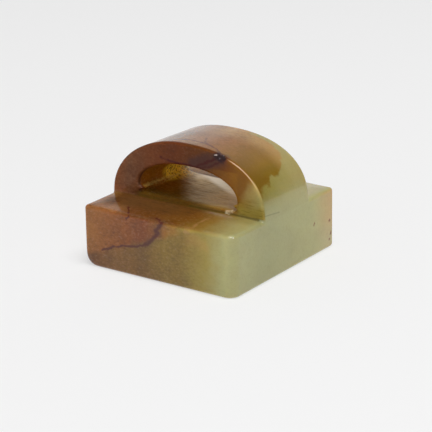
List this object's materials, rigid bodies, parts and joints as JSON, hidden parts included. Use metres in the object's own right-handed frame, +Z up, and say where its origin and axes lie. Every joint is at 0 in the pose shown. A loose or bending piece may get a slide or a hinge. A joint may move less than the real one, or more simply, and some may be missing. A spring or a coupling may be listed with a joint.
{
  "type": "seal stamp",
  "caption": "Square carved stone seal stamp with an arched bridge knob on its back and a flattened oval cord tunnel under the knob.",
  "frame": {"origin": "middle of the underside, on the surface that the seal stands on", "axes": "+Z up through the knob, X along the arch's span, Y along the cord tunnel with the front face at -Y"},
  "size_m": [0.023, 0.023, 0.0163],
  "materials": {
    "jade": "satin polished, waxy, slightly translucent"
  },
  "bodies": {
    "root": {"seal": "jade"}
  },
  "joints": []
}
